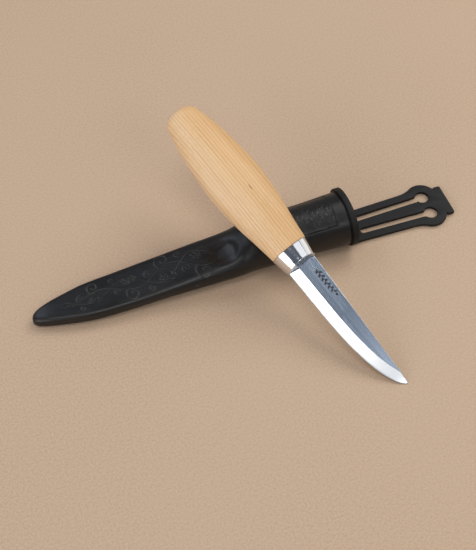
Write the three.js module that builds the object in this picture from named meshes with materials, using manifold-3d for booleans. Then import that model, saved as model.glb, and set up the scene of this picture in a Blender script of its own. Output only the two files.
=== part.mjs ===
// A whittling knife lying across its moulded sheath, in millimetres, +Z up.
// Origin: the middle of the flat back of the sheath's barrel. +X points out of the sheath's mouth.
// The sheath lies on its back. The knife's handle rests on the barrel and its point rests on the table.

import * as THREE from 'three';
import { mergeVertices } from 'three/addons/utils/BufferGeometryUtils.js';
import Module from 'manifold-3d';

const wasm = await Module();
wasm.setup();

// ---- driving dimensions ----

const GAP = 0.3; // left between neighbours that touch
const PAST = 1; // how far a cutter reaches past what it cuts

// The knife, in its own frame: X runs from the point to the butt, +Y is the cutting edge's side, Z is across
// the blade. Its X axis is the handle's own axis.
const POINT = [20.6, -103.7, 0.3]; // where the blade's point lies
const HEADING = 111; // degrees from +X to the butt's side, seen from above
const SLOPE = 19.3; // degrees that the handle rises above the table
const ROLL = -6.7; // degrees that the blade leans towards its edge

const BLADE = {
  length: 82,
  thickness: 2.7,
  bevelWidth: 5.9, // from the edge up to where the blade is full thickness
  pointY: -3.7, // the point sits on the spine's side of the axis
  spineY: -8.1, // at the ferrule
  edgeY: 8.8, // at the ferrule
  bellyStart: 62, // from here to the point the edge curves up
  bellyPower: 2.8, // how late the curve begins
  bellyFullness: 0.62, // smaller is blunter at the point
  bluntness: 0.25, // how far from the point's corner the solid begins
};
const TANG = { end: 163, centre: -1.2, half: 4.5, endHalf: 2.5 };

const FERRULE = {
  nose: 82, // X of the nose at the axis
  back: 93.3,
  wall: 0.8,
  frontHalf: 9.3, // half widths, in Y
  backHalf: 11.1,
  rimRound: 0.5,
  sweepY: 1.2, // how far the nose's rim stands back at the blade's edges
  sweepZ: 2.4, // and above and below the blade
};
const OVALNESS = 0.84; // a handle's or ferrule's thickness over its width

// The handle's half widths along X: a barrel with its belly a third of the way from the ferrule.
const HANDLE_OUTLINE = [
  [93.6, 10.9],
  [105, 12.4],
  [120, 14.6],
  [136, 15.8],
  [150, 15.5],
  [165, 14.1],
  [178, 11.8],
  [184, 10.3],
];
const BUTT = { round: 6.2, cone: 0.12, fall: 0.5 }; // length, straight share of the fall, and whole fall

// The sheath. Its sections are superellipses about the XZ plane, flattened where they meet Z = 0.
const MOUTH_X = 30;
const TIP_X = -153;
const SHEATH_WALL = 1.8;
const TIP_WALL = 4;
// x, half width, top height, waist (the share of the height at which the sheath is widest), and squareness
// above and below the waist (2 is an ellipse)
const SHEATH_STATIONS = [
  [TIP_X, 1.4, 5.0, 0.5, 2.4, 2.4],
  [-151.8, 2.8, 6.2, 0.5, 2.7, 2.6],
  [-149, 4.3, 7.0, 0.5, 3.0, 2.8],
  [-144, 6.1, 7.6, 0.5, 3.4, 3.0],
  [-135, 8.5, 8.1, 0.5, 3.8, 3.0],
  [-122, 11.0, 8.7, 0.5, 4.0, 2.8],
  [-104, 12.1, 9.6, 0.54, 3.9, 2.4],
  [-84, 12.8, 11.6, 0.6, 3.3, 2.0],
  [-62, 13.5, 14.4, 0.58, 3.0, 2.0],
  [-44, 14.0, 17.0, 0.55, 2.8, 2.0],
  [-37, 14.2, 19.6, 0.53, 2.6, 2.0],
  [-31, 14.3, 23.0, 0.52, 2.4, 2.0],
  [-25, 14.3, 25.3, 0.5, 2.2, 2.0],
  [-16, 14.4, 26.1, 0.5, 2.15, 2.05],
  [4, 14.8, 26.5, 0.5, 2.1, 2.1],
  [26.1, 16.0, 27.2, 0.5, 2.1, 2.1],
];
const BACK_DEPTH = 1.05; // how deep a section's lower half is drawn before it is cut flat
const NOSE_LENGTH = 15; // the rounded tip, which has closer sections
const NOSE_SECTIONS = 8;
const BODY_SECTIONS = 28;
const HOLLOW_SECTIONS = 16;
const SHEATH_SIDES = 44;
const HOLLOW_SIDES = 36;

const RING = { halfWidth: 17.6, top: 28.5, length: 3.4, wall: 1.2, round: 0.5, squareness: 2.1 };
const GROOVE = 0.5; // the slit between the barrel's lip and the ring
const NECK_WALL = 1.2;
const NECK_SETBACK = 0.5; // the neck stops this far inside the ring's face

// The hanger's strap, with S measured outwards from the ring's face and T across it.
const STRAP = {
  bottom: 0.6,
  thickness: 1.8,
  rootHalf: 10.7,
  headHalf: 11.9,
  flareStart: 41,
  lobeRadius: 9.3,
  lobeStart: 126, // degrees from +S, where the flare meets the lobe
  keyholeS: 51,
  keyholeT: 5.95,
  keyholeRadius: 3.95,
  slotStart: 7.4,
  slotEnd: 46,
  slotRootT: 4.6,
  slotHeadT: 5.6,
  slotHalf: 1.85,
  notchS: 60, // where the lobes end and the T-shaped tab begins
  notchDepth: 1.2,
  tabEnd: 64.3,
  tabHalf: 10.3,
};
const HINGE_S = 17; // where the strap's bars bend

const ROUND_SIDES = 36;
const HANDLE_STEPS = 24;
const BUTT_STEPS = 6;

// ---- helpers ----

const { lerp, clamp, degToRad: radians } = THREE.MathUtils;

function closedSolid(geometry) {
  const bare = geometry.index ? geometry.toNonIndexed() : geometry.clone();
  bare.deleteAttribute('normal');
  bare.deleteAttribute('uv');
  const merged = mergeVertices(bare, 1e-4);
  return new wasm.Manifold(
    new wasm.Mesh({
      numProp: 3,
      vertProperties: merged.attributes.position.array,
      triVerts: Uint32Array.from(merged.index.array),
    }),
  );
}

function geometryOf(solid) {
  const { numProp, vertProperties, triVerts } = solid.getMesh();
  const geometry = new THREE.BufferGeometry();
  const buffer = new THREE.InterleavedBuffer(vertProperties, numProp);
  geometry.setAttribute('position', new THREE.InterleavedBufferAttribute(buffer, 3, 0));
  geometry.setIndex(new THREE.BufferAttribute(triVerts, 1));
  const plain = geometry.toNonIndexed();
  plain.computeVertexNormals();
  return plain;
}

// A closed skin through loops of points given in rising X. Each loop turns from +Y towards +Z.
function loft(loops) {
  const count = loops[0].length;
  const positions = loops.flat().flatMap((point) => point.toArray());
  const triangles = [];
  for (let i = 0; i < loops.length - 1; i += 1) {
    for (let j = 0; j < count; j += 1) {
      const next = (j + 1) % count;
      const a = i * count + j;
      const b = i * count + next;
      triangles.push(a, b, a + count, a + count, b, b + count);
    }
  }
  const addCap = (loop, first, facesForward) => {
    const centre = new THREE.Vector3();
    loop.forEach((point) => centre.addScaledVector(point, 1 / count));
    const apex = positions.length / 3;
    positions.push(...centre.toArray());
    for (let j = 0; j < count; j += 1) {
      const a = first + j;
      const b = first + ((j + 1) % count);
      triangles.push(apex, facesForward ? a : b, facesForward ? b : a);
    }
  };
  addCap(loops[0], 0, false);
  addCap(loops[loops.length - 1], (loops.length - 1) * count, true);
  const geometry = new THREE.BufferGeometry();
  geometry.setAttribute('position', new THREE.Float32BufferAttribute(positions, 3));
  geometry.setIndex(triangles);
  return geometry;
}

const angles = (count) => Array.from({ length: count }, (_, i) => (2 * Math.PI * i) / count);
const steps = (from, to, count) => Array.from({ length: count + 1 }, (_, i) => lerp(from, to, i / count));

function oval(x, halfY, halfZ, count) {
  return angles(count).map(
    (turn) => new THREE.Vector3(x, halfY * Math.cos(turn), halfZ * Math.sin(turn)),
  );
}

// A superellipse from bottom to top. Its lower half is drawn a little too deep and cut flat, so that the
// sheath has a back to lie on.
function flatBackedLoop({ x, half, bottom, top, waist, above, below }, count) {
  const middle = lerp(bottom, top, waist);
  const rise = top - middle;
  const depth = BACK_DEPTH * (middle - bottom);
  return angles(count).map((turn) => {
    const power = 2 / (Math.sin(turn) > 0 ? above : below);
    const across = Math.sign(Math.cos(turn)) * Math.abs(Math.cos(turn)) ** power;
    const up = Math.abs(Math.sin(turn)) ** power;
    const z = Math.sin(turn) > 0 ? middle + up * rise : middle - up * depth;
    return new THREE.Vector3(x, half * across, Math.max(z, bottom));
  });
}

// A flat shape made thickness thick, with its middle at Z = 0.
function sheet(shape, thickness, curveSegments = 8) {
  const flat = new THREE.ExtrudeGeometry(shape, { depth: thickness, bevelEnabled: false, curveSegments });
  return closedSolid(flat.translate(0, 0, -thickness / 2));
}

function part(name, solid, material) {
  const mesh = new THREE.Mesh(geometryOf(solid), material);
  mesh.name = name;
  return mesh;
}

// ---- the knife ----

const spineY = (x) => lerp(BLADE.pointY, BLADE.spineY, x / BLADE.length);

function edgeY(x) {
  const along = Math.max(0, (BLADE.bellyStart - x) / BLADE.bellyStart);
  const share = (1 - along ** BLADE.bellyPower) ** BLADE.bellyFullness;
  return lerp(BLADE.pointY, BLADE.edgeY, share);
}

// The blade's five-sided section: edge, bevel line, spine, spine, bevel line. Near the point the bevels meet
// the spine, and the bevel line then runs just below it.
function bladeLoop(x) {
  const edge = edgeY(x);
  const spine = spineY(x);
  const width = edge - spine;
  const fullWidth = Math.min(BLADE.bevelWidth, width);
  const bevel = Math.min(BLADE.bevelWidth, 0.96 * width);
  const half = ((BLADE.thickness / 2) * fullWidth) / BLADE.bevelWidth;
  const bevelHalf = (half * bevel) / fullWidth;
  return [
    new THREE.Vector3(x, edge, 0),
    new THREE.Vector3(x, edge - bevel, bevelHalf),
    new THREE.Vector3(x, spine, half),
    new THREE.Vector3(x, spine, -half),
    new THREE.Vector3(x, edge - bevel, -bevelHalf),
  ];
}

// The tang, or the hole for it with clearance all round.
function tangSolid(clearance) {
  const { end, centre, half, endHalf } = TANG;
  const root = FERRULE.nose - GAP - 0.1; // just inside the blade's shoulders
  const outline = new THREE.Shape([
    new THREE.Vector2(root, centre - half - clearance),
    new THREE.Vector2(end + clearance, -endHalf - clearance),
    new THREE.Vector2(end + clearance, endHalf + clearance),
    new THREE.Vector2(root, centre + half + clearance),
  ]);
  return sheet(outline, BLADE.thickness + 2 * clearance);
}

// The nose's outline in the blade's plane, which the blade's shoulders follow.
const noseX = (y) => FERRULE.nose + FERRULE.sweepY * (y / FERRULE.frontHalf) ** 2;

function makeBlade(material) {
  const pointEnd = BLADE.bellyStart / 3; // the point curves fastest, so its stations are closer
  const rootX = FERRULE.nose + FERRULE.sweepY + PAST;
  const stations = [
    ...steps(BLADE.bluntness, pointEnd, 12),
    ...steps(pointEnd, BLADE.bellyStart, 10).slice(1),
    rootX,
  ];
  const body = closedSolid(loft(stations.map(bladeLoop)));
  const reach = BLADE.edgeY + PAST;
  const shoulders = steps(-reach, reach, 12).map((y) => new THREE.Vector2(noseX(y) - GAP, y));
  const beyond = new THREE.Shape([
    new THREE.Vector2(rootX + PAST, -reach),
    new THREE.Vector2(rootX + PAST, reach),
    ...shoulders.reverse(),
  ]);
  const cutter = sheet(beyond, 2 * BLADE.thickness);
  return part('blade', body.subtract(cutter).add(tangSolid(0)), material);
}

// Rings of the ferrule's skin from the nose's middle to its back, shrunk all round by inset.
function ferruleLoops(inset) {
  const { nose, back, frontHalf, backHalf, rimRound, sweepY, sweepZ } = FERRULE;
  const noseRing = (share, setback) =>
    angles(ROUND_SIDES).map((turn) => {
      const sweep = sweepY * Math.cos(turn) ** 2 + sweepZ * Math.sin(turn) ** 2;
      const radius = (frontHalf - inset) * share;
      const x = nose + inset + setback + sweep * share ** 2;
      return new THREE.Vector3(x, radius * Math.cos(turn), radius * OVALNESS * Math.sin(turn));
    });
  const rim = noseRing(1, rimRound);
  const backRing = oval(back, backHalf - inset, (backHalf - inset) * OVALNESS, ROUND_SIDES);
  const middleRing = rim.map((point, i) => point.clone().lerp(backRing[i], 0.5));
  return [...[0.25, 0.5, 0.75, 0.93].map((share) => noseRing(share, 0)), rim, middleRing, backRing];
}

function makeFerrule(material) {
  const outside = closedSolid(loft(ferruleLoops(0)));
  const insideLoops = ferruleLoops(FERRULE.wall);
  const opening = insideLoops.at(-1).map((point) => point.clone().setX(FERRULE.back + PAST));
  const inside = closedSolid(loft([...insideLoops, opening]));
  return part('ferrule', outside.subtract(inside).subtract(tangSolid(GAP)), material);
}

function makeHandle(material) {
  const spline = new THREE.SplineCurve(HANDLE_OUTLINE.map(([x, half]) => new THREE.Vector2(x, half)));
  const outline = spline.getPoints(HANDLE_STEPS);
  const buttStart = outline.at(-1);
  const butt = steps(0, 1, BUTT_STEPS).slice(1);
  butt.forEach((share) => {
    const curve = lerp(1 - Math.sqrt(1 - share ** 2), share, BUTT.cone);
    const half = buttStart.y * (1 - BUTT.fall * curve);
    outline.push(new THREE.Vector2(buttStart.x + BUTT.round * share, half));
  });
  const barrel = closedSolid(loft(outline.map(({ x, y }) => oval(x, y, y * OVALNESS, ROUND_SIDES))));

  // The tenon fills the ferrule behind its nose.
  const inset = FERRULE.wall + GAP;
  const front = FERRULE.nose + FERRULE.sweepZ + FERRULE.rimRound + inset;
  const tenonRing = (x, half) => oval(x, half - inset, half * OVALNESS - inset, ROUND_SIDES);
  const frontRing = tenonRing(front, FERRULE.frontHalf);
  const backRing = tenonRing(FERRULE.back, FERRULE.backHalf - 0.2);
  const rootRing = backRing.map((point) => point.clone().setX(FERRULE.back + PAST));
  const tenon = closedSolid(loft([frontRing, backRing, rootRing]));
  return part('handle', barrel.add(tenon).subtract(tangSolid(GAP)), material);
}

// ---- the sheath ----

// The sheath's section at x, eased between the stations with a smooth (Hermite) curve.
function sheathSection(x) {
  const stations = SHEATH_STATIONS;
  const last = stations.length - 1;
  const above = stations.findIndex((station) => station[0] > x);
  const index = above === -1 ? last - 1 : clamp(above - 1, 0, last - 1);
  const span = stations[index + 1][0] - stations[index][0];
  const share = (x - stations[index][0]) / span;
  const slope = (column, i) => {
    const before = stations[Math.max(i - 1, 0)];
    const after = stations[Math.min(i + 1, last)];
    return (after[column] - before[column]) / (after[0] - before[0]);
  };
  const [s2, s3] = [share ** 2, share ** 3];
  const value = (column) =>
    (2 * s3 - 3 * s2 + 1) * stations[index][column] +
    (s3 - 2 * s2 + share) * span * slope(column, index) +
    (3 * s2 - 2 * s3) * stations[index + 1][column] +
    (s3 - s2) * span * slope(column, index + 1);
  return { x, half: value(1), bottom: 0, top: value(2), waist: value(3), above: value(4), below: value(5) };
}

// The ring's outer section drawn in by inset.
function mouthSection(x, inset) {
  return {
    x,
    half: RING.halfWidth - inset,
    bottom: inset,
    top: RING.top - inset,
    waist: 0.5,
    above: RING.squareness,
    below: RING.squareness,
  };
}

const mouthLoop = (x, inset, count) => flatBackedLoop(mouthSection(x, inset), count);

// The hollow: a socket for the handle's front end that runs down into a flat pocket for the blade.
function sheathHollow(lipX) {
  const hollowLoop = (x) => {
    const outer = sheathSection(x);
    const [half, top] = [outer.half - SHEATH_WALL, outer.top - SHEATH_WALL];
    return flatBackedLoop({ ...outer, half, bottom: SHEATH_WALL, top }, HOLLOW_SIDES);
  };
  const mouthInset = RING.wall + GAP + NECK_WALL;
  const mouthDepth = 2 * RING.length;
  return closedSolid(
    loft([
      ...steps(TIP_X + TIP_WALL, TIP_X + NOSE_LENGTH, 3).map(hollowLoop),
      ...steps(TIP_X + NOSE_LENGTH, lipX - mouthDepth, HOLLOW_SECTIONS).slice(1).map(hollowLoop),
      mouthLoop(lipX, mouthInset, HOLLOW_SIDES),
      mouthLoop(MOUTH_X + PAST, mouthInset, HOLLOW_SIDES),
    ]),
  );
}

function makeSheathBody(material) {
  const lipX = MOUTH_X - RING.length - GROOVE;
  const noseStations = steps(0, 1, NOSE_SECTIONS).map((share) => TIP_X + NOSE_LENGTH * share ** 2);
  const stations = [...noseStations, ...steps(TIP_X + NOSE_LENGTH, lipX, BODY_SECTIONS).slice(1)];
  const skin = closedSolid(loft(stations.map((x) => flatBackedLoop(sheathSection(x), SHEATH_SIDES))));
  const neckInset = RING.wall + GAP;
  const neck = closedSolid(
    loft([lipX - PAST, MOUTH_X - NECK_SETBACK].map((x) => mouthLoop(x, neckInset, SHEATH_SIDES))),
  );
  return part('sheath_body', skin.add(neck).subtract(sheathHollow(lipX)), material);
}

// ---- the hanger ----

const strapHalf = (s) => lerp(STRAP.rootHalf, STRAP.headHalf, s / STRAP.flareStart);

// The strap's outline from its root at S = from out to the T-shaped tab.
function strapShape(from) {
  const { flareStart, headHalf, keyholeS, keyholeT, lobeRadius, notchS, notchDepth, tabEnd, tabHalf } = STRAP;
  const lobeStart = radians(STRAP.lobeStart);
  const lobeEnd = Math.acos((notchS - notchDepth / 2 - keyholeS) / lobeRadius);
  const shape = new THREE.Shape();
  shape.moveTo(from, -strapHalf(from));
  shape.lineTo(flareStart, -headHalf);
  shape.absarc(keyholeS, -keyholeT, lobeRadius, -lobeStart, -lobeEnd, false);
  shape.lineTo(notchS, -tabHalf + notchDepth);
  shape.lineTo(notchS, -tabHalf);
  shape.lineTo(tabEnd, -tabHalf);
  shape.lineTo(tabEnd, tabHalf);
  shape.lineTo(notchS, tabHalf);
  shape.lineTo(notchS, tabHalf - notchDepth);
  shape.absarc(keyholeS, keyholeT, lobeRadius, lobeEnd, lobeStart, false);
  shape.lineTo(flareStart, headHalf);
  shape.lineTo(from, strapHalf(from));
  return shape;
}

// One keyhole slot: a round hole with a slot that runs back to the strap's root.
function keyholeShape(side) {
  const { keyholeS, keyholeT, keyholeRadius, slotStart, slotEnd, slotRootT, slotHeadT, slotHalf } = STRAP;
  const meet = Math.asin(slotHalf / keyholeRadius);
  const shape = new THREE.Shape();
  shape.absarc(keyholeS, side * keyholeT, keyholeRadius, Math.PI + meet, Math.PI - meet, false);
  shape.lineTo(slotEnd, side * slotHeadT + slotHalf);
  shape.absarc(slotStart + slotHalf, side * slotRootT, slotHalf, Math.PI / 2, (3 * Math.PI) / 2, false);
  shape.lineTo(slotEnd, side * slotHeadT - slotHalf);
  return shape;
}

function strapSheet(from) {
  const { thickness, bottom } = STRAP;
  const holes = [1, -1].map((side) => sheet(keyholeShape(side), thickness + PAST));
  const flat = holes.reduce((solid, hole) => solid.subtract(hole), sheet(strapShape(from), thickness));
  return flat.translate([MOUTH_X, 0, bottom + thickness / 2]);
}

// A block across the whole strap between two values of S.
function strapSlice(from, to) {
  const wide = 4 * STRAP.headHalf;
  const slice = new THREE.BoxGeometry(to - from, wide, wide);
  return closedSolid(slice.translate(MOUTH_X + (from + to) / 2, 0, 0));
}

// The ring round the sheath's mouth, with the root of the strap moulded on.
function makeHangerRing(material) {
  const back = MOUTH_X - RING.length;
  const outline = [
    [back, RING.round],
    [back + RING.round, 0],
    [MOUTH_X - RING.round, 0],
    [MOUTH_X, RING.round],
  ];
  const outside = closedSolid(loft(outline.map(([x, inset]) => mouthLoop(x, inset, SHEATH_SIDES))));
  const boreEnds = [back - PAST, MOUTH_X + PAST];
  const bore = closedSolid(loft(boreEnds.map((x) => mouthLoop(x, RING.wall, SHEATH_SIDES))));
  const rootStart = -RING.length / 2;
  const rootEnd = HINGE_S - STRAP.thickness / 2 - GAP;
  const root = strapSheet(rootStart).intersect(strapSlice(rootStart, rootEnd));
  return part('hanger_ring', outside.add(root).subtract(bore), material);
}

// The free part of the strap. Its bars' ends are rounded about the line that they bend on.
function makeHangerStrap(material) {
  const half = STRAP.thickness / 2;
  const wide = 4 * STRAP.headHalf;
  const knuckle = new THREE.CylinderGeometry(half, half, wide, 16);
  knuckle.translate(MOUTH_X + HINGE_S, 0, STRAP.bottom + half);
  const free = strapSlice(HINGE_S, STRAP.tabEnd + PAST).add(closedSolid(knuckle));
  return part('hanger_strap', strapSheet(HINGE_S - 2 * half).intersect(free), material);
}

// ---- materials and assembly ----

const steel = new THREE.MeshStandardMaterial({ color: 0x9aa5b0, roughness: 0.32, metalness: 1 });
const polished = new THREE.MeshStandardMaterial({ color: 0xc9ccd0, roughness: 0.14, metalness: 1 });
const birch = new THREE.MeshStandardMaterial({ color: 0xd9ae70, roughness: 0.5, metalness: 0 });
const sheathPlastic = new THREE.MeshStandardMaterial({ color: 0x17181c, roughness: 0.38, metalness: 0 });
const hangerPlastic = new THREE.MeshStandardMaterial({ color: 0x2a2b2d, roughness: 0.6, metalness: 0 });

const knife = new THREE.Group();
knife.add(makeBlade(steel), makeFerrule(polished), makeHandle(birch));
knife.rotation.set(radians(ROLL), radians(-SLOPE), radians(HEADING), 'ZYX');
const pointInKnife = new THREE.Vector3(0, BLADE.pointY, 0).applyEuler(knife.rotation);
knife.position.set(...POINT).sub(pointInKnife);

const sheath = new THREE.Group();
sheath.add(makeSheathBody(sheathPlastic), makeHangerRing(hangerPlastic), makeHangerStrap(hangerPlastic));

const group = new THREE.Group();
group.add(knife, sheath);

export default group;
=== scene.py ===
"""A whittling knife lying across its moulded sheath.

Lengths are in millimetres until a mesh is made.
"""

import math

import bmesh
import bpy
import numpy as np
from mathutils import Matrix, Vector


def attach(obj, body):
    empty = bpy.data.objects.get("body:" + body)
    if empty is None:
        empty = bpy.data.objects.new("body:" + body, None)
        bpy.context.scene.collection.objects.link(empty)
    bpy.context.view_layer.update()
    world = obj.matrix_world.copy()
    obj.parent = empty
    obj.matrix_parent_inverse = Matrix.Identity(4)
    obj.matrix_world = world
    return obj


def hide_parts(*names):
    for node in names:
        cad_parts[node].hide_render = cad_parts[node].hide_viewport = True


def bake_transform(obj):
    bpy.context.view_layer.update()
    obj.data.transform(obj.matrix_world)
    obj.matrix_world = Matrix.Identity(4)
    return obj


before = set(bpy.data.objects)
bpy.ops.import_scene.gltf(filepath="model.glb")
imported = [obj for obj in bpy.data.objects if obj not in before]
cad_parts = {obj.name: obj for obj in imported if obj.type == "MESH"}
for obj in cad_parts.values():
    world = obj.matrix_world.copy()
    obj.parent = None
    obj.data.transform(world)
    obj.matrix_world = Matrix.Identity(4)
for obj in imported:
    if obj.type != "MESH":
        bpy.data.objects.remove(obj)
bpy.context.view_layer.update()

MM = 0.001

# ---- sizes, as the CAD model has them unless a comment says otherwise ----

# The knife's own frame has X from the point to the butt, Y towards the cutting edge and Z across the blade.
# This is where its point lies, and how it is turned, in degrees.
POINT = (20.6, -103.7, 0.3)
HEADING, SLOPE, ROLL = 111.0, 19.3, -6.7

POINT_Y = -3.7
SPINE_Y = -8.1
EDGE_Y = 8.8
BLADE_LENGTH = 82.0
BLADE_HALF = 1.35
BEVEL_WIDTH = 5.9
BELLY_START = 62.0
BELLY_POWER = 2.8
BELLY_FULLNESS = 0.62
TANG_CENTRE = -1.2
TANG_HALF = 4.5

# The ferrule and the handle are ovals: this is their thickness over their width.
OVALNESS = 0.84
NOSE_X = 82.0
FERRULE_BACK = 93.3
FERRULE_FRONT_HALF = 9.3
FERRULE_BACK_HALF = 11.1
# How far the nose's rim sweeps back at its sides and at its top and bottom.
SWEEP_Y = 1.2
SWEEP_Z = 2.4
# The handle's places along the knife and its half widths there.
HANDLE_OUTLINE = (
    (93.6, 10.9),
    (105, 12.4),
    (120, 14.6),
    (136, 15.8),
    (150, 15.5),
    (165, 14.1),
    (178, 11.8),
    (184, 10.3),
)
BUTT_ROUND, BUTT_CONE, BUTT_FALL = 6.2, 0.12, 0.5

# The sheath, in the part's frame.
MOUTH_X = 30.0
LIP_X = 26.1
TIP_X = -153.0
WALL = 1.8
BACK_DEPTH = 1.05
# x, half width, top, waist, squareness above and below the waist.
# The tip is rounder than in the CAD, and the blade section squarer above.
STATIONS = np.array(
    (
        (TIP_X, 0.8, 4.0, 0.5, 2.1, 2.1),
        (-152.6, 1.9, 5.0, 0.5, 2.3, 2.2),
        (-151.8, 2.9, 5.8, 0.5, 2.6, 2.4),
        (-150.6, 3.8, 6.4, 0.5, 2.9, 2.6),
        (-149, 4.6, 6.9, 0.5, 3.3, 2.8),
        (-144, 6.3, 7.6, 0.5, 4.2, 3.0),
        (-135, 8.5, 8.1, 0.5, 5.2, 3.0),
        (-122, 11.0, 8.7, 0.5, 5.8, 2.8),
        (-104, 12.1, 9.6, 0.54, 5.7, 2.4),
        (-84, 12.8, 11.6, 0.6, 4.8, 2.0),
        (-62, 13.5, 14.4, 0.58, 4.0, 2.0),
        (-44, 14.0, 17.0, 0.55, 3.2, 2.0),
        (-37, 14.2, 19.6, 0.53, 2.6, 2.0),
        (-31, 14.3, 23.0, 0.52, 2.4, 2.0),
        (-25, 14.3, 25.3, 0.5, 2.2, 2.0),
        (-16, 14.4, 26.1, 0.5, 2.15, 2.05),
        (4, 14.8, 26.5, 0.5, 2.1, 2.1),
        (26.1, 16.0, 27.2, 0.5, 2.1, 2.1),
    )
)
RING_HALF, RING_TOP, RING_LENGTH, RING_WALL, RING_SQUARENESS = 17.6, 28.5, 3.4, 1.2, 2.1
# The neck under the ring stands nearer to it than in the CAD, so that no light comes through.
NECK_INSET = 1.28
HOLLOW_INSET = 2.7

# ---- meshes ----


def tube(loops):
    """Points and faces of a closed skin through loops of points that turn from +Y to +Z.

    The loops rise in X, or come back inside a hollow.
    """
    loops = np.asarray(loops, float)
    rows, columns = loops.shape[:2]
    i, j = np.meshgrid(np.arange(rows - 1), np.arange(columns), indexing="ij")
    a = i * columns + j
    b = i * columns + (j + 1) % columns
    faces = np.stack([a, b, b + columns, a + columns], -1).reshape(-1, 4).tolist()
    points = [loops.reshape(-1, 3)]
    count = rows * columns
    for row, forward in ((0, False), (rows - 1, True)):
        points.append(loops[row].mean(0)[None])
        for k in range(columns):
            p, q = row * columns + k, row * columns + (k + 1) % columns
            faces.append([count, p, q] if forward else [count, q, p])
        count += 1
    return np.concatenate(points), faces


def place(points, matrix):
    """Points moved by a 4x4 matrix."""
    return points @ matrix[:3, :3].T + matrix[:3, 3]


def mesh_object(name, points, faces):
    """A new object of points in millimetres."""
    mesh = bpy.data.meshes.new(name)
    mesh.from_pydata((np.asarray(points) * MM).tolist(), [], faces)
    mesh.validate()
    piece = bpy.data.objects.new(name, mesh)
    bpy.context.scene.collection.objects.link(piece)
    return piece


def with_modifiers(piece):
    """Applies the piece's modifiers to its mesh."""
    graph = bpy.context.evaluated_depsgraph_get()
    made = bpy.data.meshes.new_from_object(piece.evaluated_get(graph))
    piece.modifiers.clear()
    piece.data = made
    return piece


def combine(piece, other, operation):
    """Joins other to piece, or cuts it out of piece, and removes other."""
    boolean = piece.modifiers.new("cut", "BOOLEAN")
    boolean.object = other
    boolean.operation = operation
    boolean.solver = "EXACT"
    with_modifiers(piece)
    bpy.data.objects.remove(other)
    return piece


def shade(piece, degrees):
    """Smooth shading that stays sharp at edges steeper than some degrees."""
    mesh = piece.data
    mesh.polygons.foreach_set("use_smooth", [True] * len(mesh.polygons))
    mesh.set_sharp_from_angle(angle=math.radians(degrees))


def give_local(piece, inverse):
    """Stores each vertex's place in the knife's or the sheath's frame, in millimetres, for the materials."""
    count = len(piece.data.vertices)
    points = np.zeros(count * 3)
    piece.data.vertices.foreach_get("co", points)
    local = place(points.reshape(-1, 3) / MM, inverse)
    attribute = piece.data.attributes.new("local", "FLOAT_VECTOR", "POINT")
    attribute.data.foreach_set("vector", local.astype(np.float32).ravel())


def finish_piece(piece, body, nodes, material, inverse, degrees=30):
    """Gives a piece its material, its shading and its local places, hides its CAD nodes and, if a body is
    given, attaches it to that body.
    """
    if not piece.data.materials:
        piece.data.materials.append(material)
    shade(piece, degrees)
    give_local(piece, inverse)
    if nodes:
        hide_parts(*nodes)
    if body:
        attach(piece, body)


def turns(count):
    """Angles of evenly spaced points round a loop."""
    return np.arange(count) * 2 * math.pi / count


def smooth(value, low, high):
    """An eased step from 0 at low to 1 at high."""
    share = np.clip((value - low) / (high - low), 0, 1)
    return share * share * (3 - 2 * share)


def oval(x, half_y, half_z, count):
    angle = turns(count)
    return np.stack([np.full(count, x), half_y * np.cos(angle), half_z * np.sin(angle)], -1)


# ---- materials ----


class Surface:
    """A material whose nodes are made by short calls."""

    def __init__(self, name):
        self.material = bpy.data.materials.new(name)
        self.material.use_nodes = True
        self.tree = self.material.node_tree
        self.shader = self.tree.nodes["Principled BSDF"]
        attribute = self.tree.nodes.new("ShaderNodeAttribute")
        attribute.attribute_name = "local"
        self.local = attribute.outputs["Vector"]

    def feed(self, socket, value):
        if isinstance(value, bpy.types.NodeSocket):
            self.tree.links.new(value, socket)
        else:
            socket.default_value = value

    def add(self, kind, inputs, output=0, **settings):
        node = self.tree.nodes.new("ShaderNode" + kind)
        for key, value in settings.items():
            setattr(node, key, value)
        for key, value in inputs.items():
            self.feed(node.inputs[key], value)
        return node.outputs[output]

    def math(self, operation, *values):
        return self.add("Math", dict(enumerate(values)), operation=operation)

    def scaled(self, vector, factors):
        return self.add("VectorMath", {0: vector, 1: factors}, operation="MULTIPLY")

    def noise(self, factors, detail=2.0, roughness=0.5, distortion=0.0, vector=None):
        """Noise whose features are about 1/factor millimetres long."""
        inputs = {
            "Vector": self.scaled(vector or self.local, factors),
            "Scale": 1.0,
            "Detail": detail,
            "Roughness": roughness,
            "Distortion": distortion,
        }
        return self.add("TexNoise", inputs)

    def remap(self, value, low, high, to_low=0.0, to_high=1.0):
        inputs = {"Value": value, 1: low, 2: high, 3: to_low, 4: to_high}
        return self.add("MapRange", inputs, interpolation_type="SMOOTHSTEP")

    def mix(self, share, a, b):
        node = self.tree.nodes.new("ShaderNodeMix")
        node.data_type = "RGBA"
        self.feed(node.inputs[0], share)
        self.feed(node.inputs[6], a)
        self.feed(node.inputs[7], b)
        return node.outputs[2]

    def bump(self, height, strength, distance_mm):
        inputs = {"Height": height, "Strength": strength, "Distance": distance_mm * MM}
        self.feed(self.shader.inputs["Normal"], self.add("Bump", inputs))

    def set(self, **values):
        for key, value in values.items():
            self.feed(self.shader.inputs[key.replace("_", " ")], value)


def rgb(red, green, blue):
    return (red, green, blue, 1.0)


# The wood's larger fleck, in the knife's frame.
FLECK = (130.75, -0.8, 12.9)
# What is added to Y and Z there to measure from the pith that the growth rings turn about.
PITH_ACROSS, PITH_DOWN = 89.0, -32.0
RING_SPACING = 1.75
FIBRE_SWING = 2.6


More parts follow.
